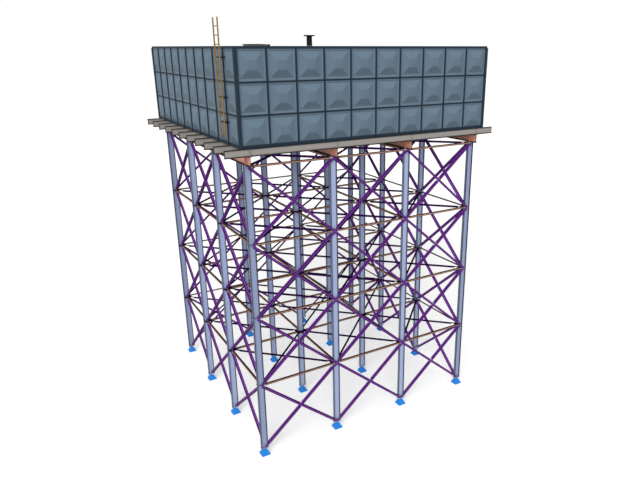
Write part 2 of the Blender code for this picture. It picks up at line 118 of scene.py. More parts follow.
# The tank's pressed panels, the bolts along its ribs, and its corner posts. The press line
# is how far the sheet stands out, by the distance in from a panel's edge
PANEL = 1.22
PANELS_ACROSS = 10
PANELS_UP = 3
SHEET = 0.006
PRESS_LINE = ((0.0, 0.0), (0.065, 0.0), (0.125, -0.012), (0.430, 0.060), (PANEL / 2, 0.060))
PRESS_ROUNDING = 0.008
RIB_BOLT_START = 0.13
RIB_BOLT_PITCH = 0.16
SEAM_CLEARANCE = 0.06
POST_LEG = 0.130
POST_DEPTH = 0.058

# The ladder's rungs and how much darker they are made, the hatch, and the vent
RUNGS = 13
FIRST_RUNG = 0.58
RUNG_PITCH = 0.32
RUNG_DARKENING = 0.4
NECK_RADIUS = 0.46
NECK_HEIGHT = 0.085
HINGE_HALF = 0.085
LID_HALF = 0.015
HANDLE_REACH = 0.488
VENT_FLANGE = 0.045
ROUND_SIDES = 64

# Patterns on the paint: how many to a metre, and how much detail
DRIFT = (0.9, 3.0)
SPECKLE = (38.0, 2.0)
RAIN = (1.0, 3.0)
RAIN_STRETCH = (9.0, 9.0, 0.35)
EDGE_SHADE_CLOUDS = (7.0, 3.0)
DUST_CLOUDS = (5.0, 4.0)
PEEL = (160.0, 2.0)
DUST_COLOUR = (0.42, 0.38, 0.33, 1.0)
DUST_HEIGHT = 1.6

LETTERS = "ABCD"
SIDES = ("front", "right", "back", "left")
X_AXIS, Y_AXIS, Z_AXIS = np.eye(3)


def middle(node):
    """The middle of a node's box."""
    low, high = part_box(node)
    return (low + high) / 2


# Places worked out from the frame
COLUMN_XS = [middle("column_%s1" % letter).x for letter in LETTERS]
COLUMN_YS = [middle("column_A%d" % number).y for number in range(1, 5)]
COLUMN_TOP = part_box("column_A1")[1].z
LEVELS = [middle("level_%d_frame" % number).z for number in range(1, 5)]
TANK_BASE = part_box("tank_floor")[0].z
ROOF_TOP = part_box("tank_roof")[1].z
TANK_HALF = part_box("tank_floor")[1].x
WALL_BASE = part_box("tank_wall_front")[0].z
WALL_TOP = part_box("tank_wall_front")[1].z
BRACE_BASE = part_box("front_bracing_1")[0].z

# The work points' heights on the front and the back, and on the left and the right
ROW_LEVELS = [BRACE_BASE] + LEVELS
SIDE_LEVELS = [BRACE_BASE] + LEVELS[:3] + [COLUMN_TOP - GAP]


def grid_faces(rows, columns, closed_rows=False, closed_columns=False):
    """Quads between the neighbours of a grid of points that is numbered row by row."""
    across = np.arange(columns if closed_columns else columns - 1)
    down = np.arange(rows if closed_rows else rows - 1)[:, None]
    near, far = down * columns, (down + 1) % rows * columns
    beside = (across + 1) % columns
    quads = np.stack([near + across, near + beside, far + beside, far + across], axis=-1)
    return quads.reshape(-1, 4)


def joined(surfaces):
    """One surface from several: the faces' numbers move on by the points that come before."""
    starts = np.cumsum([0] + [len(points) for points, faces in surfaces[:-1]])
    columns = max(points.shape[1] for points, faces in surfaces)
    filled = [np.pad(points, ((0, 0), (0, columns - points.shape[1])))
              for points, faces in surfaces]
    return (np.concatenate(filled),
            np.concatenate([faces + start for (points, faces), start in zip(surfaces, starts)]))


def placed(surface, origin, first, second, third):
    """A surface moved from local axes to the frame: origin + u first + v second + w third."""
    points, faces = surface
    moved = np.asarray(origin) + points[:, :3] @ np.array([first, second, third], float)
    return np.column_stack([moved, points[:, 3:]]), faces


def copies(surface, origins):
    """A surface repeated at every origin of an array."""
    points, faces = surface
    columns = points.shape[1]
    origins = np.pad(np.asarray(origins, float), ((0, 0), (0, columns - 3)))[:, None]
    numbers = np.arange(len(origins)).reshape(-1, 1, 1) * len(points)
    return (points + origins).reshape(-1, columns), (faces + numbers).reshape(-1, 4)


def skin(rings):
    """A closed surface through rings of points; a fan of triangles closes each end ring."""
    rings = np.asarray(rings, float)
    count, around = rings.shape[:2]
    points = np.concatenate([rings.reshape(-1, 3), rings[0].mean(axis=0)[None],
                             rings[-1].mean(axis=0)[None]])
    step = np.arange(around)
    beside = (step + 1) % around
    last = (count - 1) * around
    pole = np.full(around, count * around)
    ends = [np.stack([beside, step, pole, pole], axis=-1),
            np.stack([last + step, last + beside, pole + 1, pole + 1], axis=-1)]
    return points, np.concatenate([grid_faces(count, around, closed_columns=True)] + ends)


def bar(outer, inner, origins, first, second):
    """A closed bar: the profile between two lines, carried along a path.

    Each point is its station's origin + profile u first + profile v second, and keeps the
    third number of its profile. The ends are closed by quads between the two lines.
    """
    outer, inner = np.asarray(outer, float), np.asarray(inner, float)
    profile = np.concatenate([outer, inner[..., ::-1, :]], axis=-2)
    rings = np.asarray(origins, float)[:, None, :] + (profile[..., :1] * np.asarray(first)
                                                      + profile[..., 1:2] * np.asarray(second))
    count, around = rings.shape[:2]
    kept = np.broadcast_to(profile[..., 2:], (count, around, profile.shape[-1] - 2))
    rings = np.concatenate([rings, kept], axis=-1)
    line = np.arange(around // 2 - 1)
    end = np.stack([line, line + 1, around - 2 - line, around - 1 - line], axis=-1)
    faces = [grid_faces(count, around, closed_columns=True), end[:, ::-1],
             end + (count - 1) * around]
    return rings.reshape(count * around, -1), np.concatenate(faces)


def turned(profile, sides, open_middle=False):
    """A profile of (radius, height) points turned about the third axis.

    A point is (radius cos a, radius sin a, height). An open middle joins the profile's last
    point to its first, as in a tube; otherwise a fan closes both ends.
    """
    profile = np.asarray(profile, float)
    angle = np.linspace(0, 2 * math.pi, sides, endpoint=False)
    rings = np.stack([profile[:, :1] * np.cos(angle), profile[:, :1] * np.sin(angle),
                      np.broadcast_to(profile[:, 1:], (len(profile), sides))], axis=-1)
    if not open_middle:
        return skin(rings)
    return rings.reshape(-1, 3), grid_faces(len(profile), sides, True, True)


def plate(outline, low, high, soft=SOFT):
    """A flat plate with softened edges, between two heights on the third axis.

    Its rings are its outline, drawn in a little towards the middle on both faces.
    """
    outline = np.asarray(outline, float)
    centre = outline.mean(axis=0)
    drawn_in = centre + (outline - centre) * (1 - soft / np.abs(outline - centre).max())
    levels = ((drawn_in, low), (outline, low + soft), (outline, high - soft), (drawn_in, high))
    return skin([np.column_stack([ring, np.full(len(ring), height)])
                 for ring, height in levels])


def clipped(half_u, half_v, clip):
    """A rectangle's outline about the origin, with its four corners clipped."""
    u, v, c = half_u, half_v, clip
    return np.array([(u, -v + c), (u, v - c), (u - c, v), (c - u, v), (-u, v - c),
                     (-u, c - v), (c - u, -v), (u - c, -v)])


def block(low, high, soft=SOFT):
    """A block with softened edges between two corners."""
    low, high = np.asarray(low, float), np.asarray(high, float)
    half = (high - low) / 2
    outline = clipped(half[0], half[1], soft) + (low + high)[:2] / 2
    return plate(outline, low[2], high[2], soft)


def course(start, end):
    """The way from one point to another: the first point, the direction and the distance."""
    start, end = np.asarray(start, float), np.asarray(end, float)
    length = np.linalg.norm(end - start)
    return start, (end - start) / length, length


def rod(start, end, radius):
    """A round bar from one point to another, its ends slightly domed."""
    start, along, length = course(start, end)
    side = np.cross(along, Z_AXIS if abs(along[2]) < 0.9 else X_AXIS)
    side /= np.linalg.norm(side)
    soft = radius * 0.2
    profile = [(radius - soft, 0), (radius, soft), (radius, length - soft),
               (radius - soft, length)]
    return placed(turned(profile, 16), start, side, np.cross(along, side), along)


def hex_head(size):
    """A bolt head with a chamfered top, standing on the origin along the third axis."""
    radius, height = size
    return turned([(radius, 0), (radius, 0.75 * height), (0.8 * radius, height)], 6)


def bolts(places, first=X_AXIS, second=Y_AXIS, third=Z_AXIS, size=BOLT):
    """Bolt heads at an array of places, all standing along the third axis."""
    return copies(placed(hex_head(size), (0, 0, 0), first, second, third), places)


def i_lines(depth, flange, thickness, web, root, outer, inner):
    """The right and left lines of a rolled I-section, from its lower to its upper face.

    The root fillets are quarter circles. A flange is 1.1 of its thickness at the root and
    0.8 at its edge, and its outer face falls back by a hair. The third number, for painted
    shade, is 1 along those edges, outer on the flanges' outer faces, and inner on their inner
    faces and in the fillets.
    """
    tip, soft, band = flange / 2, 0.15 * thickness, flange / 2 - EDGE_BAND
    turn = np.linspace(0, math.pi / 2, 4)
    fillet = np.column_stack([web / 2 + root * (1 - np.sin(turn)),
                              1.1 * thickness + root * (1 - np.cos(turn)),
                              np.full(4, inner)])
    web_start = 1.1 * thickness + root + WEB_BAND
    lower = np.concatenate([[(band, 0, outer), (band + EDGE_FADE, CROWN, 1),
                             (tip - soft, 2 * CROWN, 1), (tip, soft, 1),
                             (tip, 0.8 * thickness, 1), (band, 0.91 * thickness, inner)],
                            fillet,
                            [(web / 2, web_start, inner), (web / 2, web_start + EDGE_FADE, 0)]])
    lower[:, 1] -= depth / 2
    right = np.concatenate([lower, lower[::-1] * (1, -1, 1)])
    return right, right * (-1, 1, 1)


def beam(section, start, end, across, up, end_band=0.0):
    """An I-section from start to end, with its own across and up axes.

    Less than end_band from an end, the third number, for painted shade, is 1 all round.
    """
    lines = i_lines(**section)
    if not end_band:
        return bar(*lines, [start, end], across, up)
    start, along = course(start, end)[:2]
    steps = np.array([0.0, end_band, end_band + EDGE_FADE])[:, None] * along
    dark = np.array([1, 1, 0, 0, 1, 1])[:, None]
    right, left = (np.repeat(line[None], len(dark), axis=0) for line in lines)
    for line in (right, left):
        line[..., 2] = np.maximum(line[..., 2], dark)
    return bar(right, left, np.concatenate([start + steps, (end - steps)[::-1]]), across, up)


def stiffener(section, side):
    """A plate between the flanges on one side of the web, clipped to clear the fillets.

    Its axes are across the beam, up and along the beam.
    """
    top = section["depth"] / 2 - section["thickness"] * 0.95
    near, far = section["web"] / 2, section["flange"] / 2 - 0.006
    clip = section["root"] * 1.6
    outline = np.array([(near, clip - top), (near + clip, -top), (far, -top), (far, top),
                        (near + clip, top), (near, top - clip)]) * (side, 1)
    return plate(outline, -GUSSET / 2, GUSSET / 2, 0.0015)


def angle_lines(leg, thickness, root):
    """The outer and inner lines of a steel angle, from the toe of one leg to the other's.

    The heel is at the origin, and the legs run along both axes. The third number is 1 on a
    band of painted shade along the toes and the heel.
    """
    t = thickness
    soft = 0.3 * t
    bend = root * (1 - math.sqrt(0.5))
    band = HEEL_BAND * leg
    far = leg - TOE_BAND * leg
    outer = [(leg, 0, 1), (leg - soft, 0, 1), (far + EDGE_FADE, 0, 1), (far, 0, 0),
             (leg / 2, 0, 0), (band, 0, 0), (band - EDGE_FADE, 0, 1)]
    inner = [(leg, t - soft, 1), (leg - soft, t, 1), (far + EDGE_FADE, t, 1), (far, t, 0),
             (leg / 2, t, 0), (t + root + EDGE_FADE, t, 0), (t + root, t, 0)]
    outer = outer + [(0, 0, 1)] + [(v, u, edge) for u, v, edge in outer[::-1]]
    inner = inner + [(t + bend, t + bend, 0)] + [(v, u, edge) for u, v, edge in inner[::-1]]
    return np.array(outer, float), np.array(inner, float)


def angle_bar(section, start, end, face, cope=(0.0, 0.0), pointed=(False, False),
              heel_low=False):
    """A steel angle between two points of a flat frame, in its (along, up, out) axes.

    The flat leg is centred on the line from start to end with its outer face at the height
    face, and the other leg turns in from its upper or its lower edge. A cope is the length at
    an end over which that inner leg is cut away, and it grows back from there at 45 degrees.
    A pointed end is cut along the level and the plumb line through its point: each point of
    the end, t off the middle line, moves in until it is on its own side of both lines.
    """
    leg, thickness = section["leg"], section["thickness"]
    start, along, length = course(start, end)
    down = np.array([along[1], -along[0]]) * (-1 if (along[0] < 0) != heel_low else 1)
    reach = leg - thickness
    stations = ([(0.0, STUB), (cope[0], STUB), (cope[0] + reach, 1.0)] if cope[0]
                else [(0.0, 1.0)])
    stations += ([(length - cope[1] - reach, 1.0), (length - cope[1], STUB), (length, STUB)]
                 if cope[1] else [(length, 1.0)])
    distances, shares = np.array(stations).T[..., None]

    def cut(line):
        """The line at every distance, with its inner leg cut to the shares."""
        line = np.repeat(line[None], len(shares), axis=0)
        beyond = np.maximum(line[..., 1] - thickness, 0)
        line[..., 1] = np.minimum(line[..., 1], thickness) + beyond * shares
        return line

    outer, inner = angle_lines(**section)
    heel = start - down * leg / 2 + along * distances
    origins = np.column_stack([heel, np.full(len(heel), face)])
    points, faces = bar(cut(outer), cut(inner), origins, (*down, 0), (0, 0, -1))
    off = np.concatenate([outer, inner[::-1]])[:, :1] - leg / 2
    around = len(off)
    for ring, way, wanted in ((slice(0, around), 1, pointed[0]),
                              (slice(-around, None), -1, pointed[1])):
        if wanted:
            moved = (POINT_GAP - np.sign(way * along) * off * down) / np.abs(along)
            points[ring, :2] += way * moved.max(axis=1, keepdims=True) * along
    return points, faces


def on_line(start, end, distances, height):
    """Points at some distances along a line, at one height on the third axis."""
    start, along = course(start, end)[:2]
    spots = start + along * np.asarray(distances, float)[:, None]
    return np.column_stack([spots, np.full(len(spots), height)])


def shortened(first, second, at_first, at_second):
    """The line between two points, with a length taken off each end."""
    along = course(first, second)[1]
    return first + along * at_first, second - along * at_second


def crossed_braces(section, low, high, face, hold_back, cope, bolt=BOLT, heel_low=False):
    """The two diagonals of a rectangle: one whole, and one in two halves with a bridge plate.

    hold_back is how far each end stays from its work point, and with none the ends are
    pointed and meet there. heel_low turns the two halves over.
    """
    low, high = np.asarray(low, float), np.asarray(high, float)
    centre = (low + high) / 2
    up_left, down_right = np.array([low[0], high[1]]), np.array([high[0], low[1]])
    leg = section["leg"]
    sharp = not hold_back
    whole = shortened(up_left, down_right, hold_back, hold_back)
    halves = (shortened(low, centre, hold_back, 0.7 * leg),
              shortened(high, centre, hold_back, 0.7 * leg))
    made = [angle_bar(section, *whole, face, (cope, cope), (sharp, sharp))]
    made += [angle_bar(section, *half, face, (cope, 0.0), (sharp, False), heel_low)
             for half in halves]
    along = course(low, high)[1]
    bridge = plate(clipped(0.17, 0.4 * leg, 0.012), -GUSSET, 0.0)
    made.append(placed(bridge, (*centre, face - section["thickness"]), (*along, 0),
                       (-along[1], along[0], 0), Z_AXIS))
    ends = POINTED_BOLTS if sharp else BRACE_BOLTS
    spots = [on_line(centre, high, BRIDGE_BOLTS, face)]
    spots += [on_line(*line, ends, face) for line in (whole, whole[::-1], *halves)]
    made.append(bolts(np.concatenate(spots), size=bolt))
    return joined(made)


def side_axes(quarter):
    """The along, up and out axes of a side, from a count of quarter turns from the front."""
    turn = quarter * math.pi / 2
    return ((math.cos(turn), math.sin(turn), 0.0), (0.0, 0.0, 1.0),
            (math.sin(turn), -math.cos(turn), 0.0))


def on_side(surface, quarter):
    """A surface moved from the (along, up, out) axes of a side to the frame."""
    return placed(surface, (0, 0, 0), *side_axes(quarter))


class Value:
    """A shader socket that takes part in arithmetic: an expression adds its Math nodes."""

    def __init__(self, paint, socket):
        self.paint = paint
        self.socket = socket

    def math(self, operation, first, second, clamp=False):
        """A Math node of two values."""
        return self.paint.node("ShaderNodeMath", {"operation": operation, "use_clamp": clamp},
                               {0: first, 1: second})

    def __add__(self, other):
        return self.math("ADD", self, other)

    def __sub__(self, other):
        return self.math("SUBTRACT", self, other)

    def __rsub__(self, other):
        return self.math("SUBTRACT", other, self)

    def __mul__(self, other):
        return self.math("MULTIPLY", self, other)

    def __pow__(self, other):
        return self.math("POWER", self, other)

    __radd__ = __add__
    __rmul__ = __mul__

    def within(self):
        """The value held between 0 and 1."""
        return self.math("ADD", self, 0.0, clamp=True)


class Paint:
    """A material under construction."""

    def __init__(self, name):
        self.material = bpy.data.materials.new(name)
        self.material.use_nodes = True
        self.tree = self.material.node_tree
        self.shader = self.tree.nodes["Principled BSDF"]
        self.place = self.node("ShaderNodeTexCoord", output="Object")

    def feed(self, socket, value):
        """Link a value to a socket, or set the socket's own number."""
        if isinstance(value, Value):
            self.tree.links.new(value.socket, socket)
        else:
            socket.default_value = value

    def node(self, kind, settings=None, sockets=None, output=0):
        """A node of any type: its settings first, and then its sockets."""
        made = self.tree.nodes.new(kind)
        for name, value in (settings or {}).items():
            setattr(made, name, value)
        for name, value in (sockets or {}).items():
            self.feed(made.inputs[name], value)
        return Value(self, made.outputs[output])

    def coat(self, values):
        """Feed the shader's own sockets."""
        for name, value in values.items():
            self.feed(self.shader.inputs[name], value)

    def stretched(self, scale):
        """The place on the object, scaled by a different number on each axis."""
        return self.node("ShaderNodeMapping", sockets={"Vector": self.place, "Scale": scale})

    def noise(self, scale, detail=2.0, place=None, roughness=0.5):
        """A cloudy pattern between 0 and 1."""
        return self.node("ShaderNodeTexNoise", sockets={
            "Vector": place or self.place, "Scale": scale, "Detail": detail,
            "Roughness": roughness})

    def mix(self, share, first, second):
        """A colour between two colours."""
        return self.node("ShaderNodeMix", {"data_type": "RGBA"},
                         {0: share, 6: first, 7: second}, output=2)

    def height(self):
        """The height above the ground."""
        return self.node("ShaderNodeSeparateXYZ", sockets={0: self.place}, output=2)

    def facing_up(self):
        """How far the surface faces up, from -1 to 1."""
        normal = self.node("ShaderNodeTexCoord", output="Normal")
        return self.node("ShaderNodeSeparateXYZ", sockets={0: normal}, output=2)


def shaded(colour, share):
    """A colour made lighter or darker by a share."""
    return (*[part * share for part in colour], 1.0)


def painted_steel(slot, name, colour, roughness=0.42, shine=0.35, edges=0.0, dust=0.0,
                  painted_top_shade=1.0, painted_underside_shade=1.0, painted_slope_gain=1.0):
    """Satin paint on steel: its material, and the name of its slot in the CAD part.

    The tone drifts slowly, rain leaves faint upright streaks, dust lies near the ground,
    and the coat has a fine orange peel. Painted shade darkens the bands along a section's edges.
    Painted light and shade: the colour is made lighter or darker where the surface faces up and
    down, by the painted top shade and the painted underside shade, and the painted slope gain is
    how soon a slope shows that.
    """
    paint = Paint(name)
    drift = paint.noise(*DRIFT)
    speckle = paint.noise(*SPECKLE)
    rain = paint.noise(*RAIN, paint.stretched(RAIN_STRETCH), 0.6)
    base = paint.mix(drift, shaded(colour, 0.94), shaded(colour, 1.06))
    washed = ((rain - 0.5) * 0.45).within()
    base = paint.mix(washed, base, shaded(colour, 0.72))
    base = paint.mix((speckle - 0.35).within() * 0.35, base, shaded(colour, 1.12))
    gloss = roughness + (drift - 0.5) * 0.12 + (speckle - 0.5) * 0.10
    # Painted light and shade: faces that point up or down are made lighter or darker by their
    # direction
    if painted_top_shade != 1.0 or painted_underside_shade != 1.0:
        slope = paint.facing_up() * painted_slope_gain
        base = paint.mix(slope.within(), base, shaded(colour, painted_top_shade))
        base = paint.mix((slope * -1.0).within(), base, shaded(colour, painted_underside_shade))
    # Painted shade: the band darkens a section's edges, its recesses and its flanges' outer
    # faces
    if edges:
        band = paint.node("ShaderNodeAttribute", {"attribute_name": "edge"}, output="Fac")
        painted_edge_shade = (band * edges * (0.75 + paint.noise(*EDGE_SHADE_CLOUDS) * 0.5)).within()
        base = paint.mix(painted_edge_shade, base, shaded(colour, 0.07))
        gloss = gloss + painted_edge_shade * 0.2
    if dust:
        low = (1.0 - paint.height() * (1 / DUST_HEIGHT)).within() ** 1.6
        settled = (low * paint.noise(*DUST_CLOUDS) * dust).within()
        base = paint.mix(settled, base, DUST_COLOUR)
        gloss = gloss + settled * 0.3
    peel = paint.node("ShaderNodeBump", sockets={
        "Strength": 0.12, "Distance": 0.002,
        "Height": paint.noise(*PEEL) + drift * 0.8}, output="Normal")
    paint.coat({"Base Color": base, "Roughness": gloss, "Metallic": 0.0,
                "Specular IOR Level": shine, "Normal": peel})
    return paint.material, slot


def add_piece(name, surface, paint, nodes=(), body="tower", sharp=32.0):
    """Make a mesh object of a surface, and let it ride on a body in place of CAD nodes."""
    points, faces = surface
    material, slot = paint
    corners = np.where(faces[:, 2] == faces[:, 3], 3, 4)
    kept = np.ones(faces.shape, bool)
    kept[corners == 3, 3] = False
    loops = faces[kept].astype(np.int32)
    mesh = bpy.data.meshes.new(name)
    mesh.vertices.add(len(points))
    mesh.vertices.foreach_set("co", points[:, :3].astype(np.float32).ravel())
    mesh.loops.add(len(loops))
    mesh.loops.foreach_set("vertex_index", loops)
    mesh.polygons.add(len(faces))
    mesh.polygons.foreach_set("loop_start", (np.cumsum(corners) - corners).astype(np.int32))
    mesh.update(calc_edges=True)
    mesh.validate()
    shape = bmesh.new()
    shape.from_mesh(mesh)
    bmesh.ops.recalc_face_normals(shape, faces=shape.faces)
    shape.to_mesh(mesh)
    shape.free()
    mesh.shade_smooth()
    mesh.set_sharp_from_angle(angle=math.radians(sharp))
    mesh.materials.append(material)
    if points.shape[1] == 4:
        bands = mesh.attributes.new("edge", "FLOAT", "POINT")
        bands.data.foreach_set("value", points[:, 3].astype(np.float32))
    piece = bpy.data.objects.new(name, mesh)
    bpy.context.scene.collection.objects.link(piece)
    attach(piece, body)
    if nodes:
        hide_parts(*nodes)
    return piece


# In these paints, faces that point up or down are made lighter or darker, as painted light and
# shade, and section edges darker, as painted shade
COLUMN_PAINT = painted_steel("column_paint", "column_blue_grey", (0.200, 0.235, 0.370),
                             shine=0.15, edges=1.0, dust=0.2)
# Painted light: a lighter copy of the column paint, for the columns that stand in the tank's
# shade
PAINTED_LIGHT_COLUMN_PAINT = painted_steel("column_paint", "column_blue_grey_sheltered",
                                (0.265, 0.315, 0.480), shine=0.15, edges=1.0, dust=0.2)
FOOT_PAINT = painted_steel("column_paint", "foot_bright_blue", (0.003, 0.165, 0.540), 0.5,
                           0.15, dust=0.05)
BRACE_PAINT = painted_steel("brace_paint", "brace_purple", (0.140, 0.029, 0.255), shine=0.02,
                            edges=1.0, dust=0.15, painted_top_shade=1.6, painted_underside_shade=0.6, painted_slope_gain=1.4)
PLAN_PAINT = painted_steel("brace_paint", "plan_brace_dark_purple", (0.050, 0.009, 0.100),
                           shine=0.0, edges=0.8, painted_top_shade=0.4, painted_underside_shade=0.5)
STRUT_PAINT = painted_steel("strut_paint", "strut_tan", (0.330, 0.182, 0.130), shine=0.03,
                            edges=1.0, painted_top_shade=0.2, painted_underside_shade=0.5, painted_slope_gain=1.3)
PRIMARY_PAINT = painted_steel("primary_beam_paint", "primary_salmon", (0.430, 0.190, 0.135),
                              shine=0.2, edges=1.0, painted_top_shade=0.8, painted_underside_shade=0.5)
JOIST_PAINT = painted_steel("joist_paint", "joist_stone_grey", (0.232, 0.216, 0.200),
                            shine=0.2, edges=1.0, painted_top_shade=0.7, painted_underside_shade=0.6)
TANK_PAINT = painted_steel("tank_paint", "tank_slate_blue", (0.083, 0.121, 0.158), 0.5,
                           shine=0.15, painted_top_shade=1.5, painted_underside_shade=0.25, painted_slope_gain=2.0)
RIB_PAINT = painted_steel("tank_paint", "rib_dark_slate", (0.012, 0.022, 0.034), 0.55, 0.10)
LADDER_PAINT = painted_steel("ladder_paint", "ladder_ochre", (0.205, 0.122, 0.028), shine=0.12,
                             edges=1.0)
NECK_PAINT = painted_steel("fitting_paint", "hatch_neck_slate", (0.135, 0.155, 0.185), 0.55,
                           0.1)
FITTING_PAINT = painted_steel("fitting_paint", "fitting_near_black", (0.012, 0.016, 0.020),
                              0.7, 0.0)


def wedge(near, far, below, above):
    """A gusset's outline: it starts near a work point and widens as the braces spread.

    It reaches no more than below and above from the work point.
    """
    narrow = WEDGE_START + WEDGE_SPREAD * near
    wide = WEDGE_START + WEDGE_SPREAD * far
    return np.array([(near, -min(narrow, below)), (far, -min(wide, below)),
                     (far, min(wide, above)), (near, min(narrow, above))])


def gusset_stack(number, levels, reach, top_room, base, along, out):
    """Gussets at every level, towards each neighbour that a column has in its row.

    Base is how far out of the column's middle they stand, and reach is how near and how far
    they go along the row. The lowest and the highest stay between the column's ends.
    """
    made = []
    free = 1.0
    rooms = [(0.004, free)] + [(free, free)] * 3 + [(free, top_room)]
    for z, room in zip(levels, rooms):
        shape = plate(wedge(*reach, *room), 0, GUSSET)
        made += [placed(shape, out * base + Z_AXIS * z, way * along, Z_AXIS, out)
                 for way in (-1, 1) if 0 <= number + way <= 3]
    return made


def side_gussets(i, j):
    """The upright plates that take the side braces, welded to an outer column.

    Those of the front and the back lie across the column's flanges, and those of the left
    and the right stand on its web.
    """
    made = []
    if j in (0, 3):
        made += gusset_stack(i, ROW_LEVELS, (-0.01, 0.158), 0.04, COLUMN["flange"] / 2 + GAP,
                             X_AXIS, math.copysign(1, COLUMN_YS[j]) * Y_AXIS)
    if i in (0, 3):
        made += gusset_stack(j, SIDE_LEVELS, (COLUMN["web"] / 2, 0.24), 0.004, -GUSSET / 2,
                             Y_AXIS, math.copysign(1, COLUMN_XS[i]) * X_AXIS)
    return made


def make_columns():
    """Sixteen filleted I-sections with base and cap plates, anchor nuts and gussets.

    A shaft reaches a millimetre into its cap. All the columns but the corner ones get a
    lighter copy of the paint, painted light that makes up for the shade they get under the tank.
    """
    base_top = FOOT_HEIGHT + BASE_PLATE[2]
    cap_base, shaft_top = COLUMN_TOP - 0.013, COLUMN_TOP - 0.012
    half_x, half_y = BASE_PLATE[0] / 2, BASE_PLATE[1] / 2
    shaft = beam(COLUMN, (0, 0, base_top), (0, 0, shaft_top), Y_AXIS, X_AXIS)
    base = plate(clipped(half_x, half_y, 0.01), FOOT_HEIGHT, base_top)
    cap = plate(clipped(half_x - 0.01, half_y - 0.005, 0.01), cap_base, COLUMN_TOP)
    nuts = [(x, y, base_top) for x in (-0.06, 0.06) for y in (-0.06, 0.06)]
    column = joined([shaft, base, cap, bolts(nuts, size=ANCHOR_NUT)])
    for i, x in enumerate(COLUMN_XS):
        for j, y in enumerate(COLUMN_YS):
            node = "column_%s%d" % (LETTERS[i], j + 1)
            dressed = joined([column] + side_gussets(i, j))
            # Painted light: all but the corner columns take the lighter copy of the paint
            paint = PAINTED_LIGHT_COLUMN_PAINT if i in (1, 2) or j in (1, 2) else COLUMN_PAINT
            add_piece(node + "_steel", copies(dressed, [(x, y, 0)]), paint, [node])


def make_feet():
    """A pyramid foot under each column: square rings with clipped corners that draw in."""
    rings = []
    for half, height in ((0.206, 0.0), (0.21, 0.004), (0.208, 0.012), (0.052, 0.322),
                         (0.046, FOOT_HEIGHT)):
        ring = clipped(half, half, 0.012 * half / 0.21)
        rings.append(np.column_stack([ring, np.full(len(ring), height)]))
    places = [(x, y, 0) for x in COLUMN_XS for y in COLUMN_YS]
    add_piece("pyramid_feet", copies(skin(rings), places), FOOT_PAINT)


def side_parts(out, columns, levels, strut_levels, cope, strut_start, heel_low):
    """The braces and struts of one side, in its (along, up, out) axes, bay by bay.

    out is how far the outer faces of the gussets lie from the tower's middle. The struts lie
    a little above the work points, but not above the columns.
    """
    face = out + BRACE["thickness"]
    braces, struts = [], []
    for left, right in zip(columns, columns[1:]):
        braces.append(joined([
            crossed_braces(BRACE, (left, low), (right, high), face, 0.0, cope,
                           heel_low=heel_low)
            for low, high in zip(levels, levels[1:])]))
        for level in strut_levels:
            height = min(level + STRUT_RISE, COLUMN_TOP - GAP - STRUT["leg"] / 2)
            start, end = (left + strut_start, height), (right - strut_start, height)
            struts.append(angle_bar(STRUT, start, end, face))
            spots = np.concatenate([on_line(start, end, STRUT_BOLTS, face),
                                    on_line(end, start, STRUT_BOLTS, face)])
            struts.append(bolts(spots, size=SMALL_BOLT))
    return braces, joined(struts)


def make_sides():
    """The X braces and struts of the four sides.

    On the front and the back they are bolted across the column flanges, and on the left
    and the right to plates between the flanges.
    """
    row = side_parts(COLUMN_YS[3] + COLUMN["flange"] / 2 + GAP + GUSSET, COLUMN_XS, ROW_LEVELS,
                     LEVELS, cope=0.19, strut_start=0.165, heel_low=False)
    side = side_parts(COLUMN_XS[3] + GUSSET / 2, COLUMN_YS, SIDE_LEVELS, LEVELS[:3], cope=0.0,
                      strut_start=0.15, heel_low=True)
    for quarter, name in enumerate(SIDES):
        braces, struts = side if quarter % 2 else row
        for number, surface in enumerate(braces):
            node = "%s_bracing_%d" % (name, number + 1 if quarter < 2 else 3 - number)
            add_piece(node + "_angles", on_side(surface, quarter), BRACE_PAINT, [node])
        add_piece(name + "_struts", on_side(struts, quarter), STRUT_PAINT)


def make_levels():
    """At the top of each storey: inner struts between columns, and X braces in each cell.

    The braces lie on flat plates round the columns, which reach less far on the outside.
    """
    plate_low = 0.02
    plate_top = plate_low + GUSSET
    face = plate_top + PLAN_BRACE["thickness"]
    plan = [crossed_braces(PLAN_BRACE, (COLUMN_XS[i], COLUMN_YS[j]),
                           (COLUMN_XS[i + 1], COLUMN_YS[j + 1]), face, hold_back=0.22,
                           cope=0.14, bolt=SMALL_BOLT)
            for i in range(3) for j in range(3)]
    for i, x in enumerate(COLUMN_XS):
        for j, y in enumerate(COLUMN_YS):
            low = np.array([-0.15 if i == 0 else -0.27, -0.05 if j == 0 else -0.25])
            high = np.array([0.15 if i == 3 else 0.27, 0.05 if j == 3 else 0.25])
            outline = clipped(*(high - low) / 2, 0.08) + (low + high) / 2
            plan.append(copies(plate(outline, plate_low, plate_top), [(x, y, 0)]))

    struts = []
    height = Z_AXIS * (plate_low - STRUT["leg"] / 2)
    for line, along, places, across, start in (
            (COLUMN_XS, X_AXIS, COLUMN_YS[1:3], Y_AXIS, 0.17),
            (COLUMN_YS, Y_AXIS, COLUMN_XS[1:3], X_AXIS, 0.02)):
        for place in places:
            for near, far in zip(line, line[1:]):
                strut = angle_bar(STRUT, (near + start, 0), (far - start, 0), 0.02)
                struts.append(placed(strut, across * place + height, along, Z_AXIS, -across))

    plan, struts = joined(plan), joined(struts)
    for number, level in enumerate(LEVELS):
        name = "level_%d" % (number + 1)
        add_piece(name + "_plan_braces", copies(plan, [(0, 0, level)]), PLAN_PAINT)
        add_piece(name + "_inner_struts", copies(struts, [(0, 0, level)]), STRUT_PAINT,
                  [name + "_frame"])


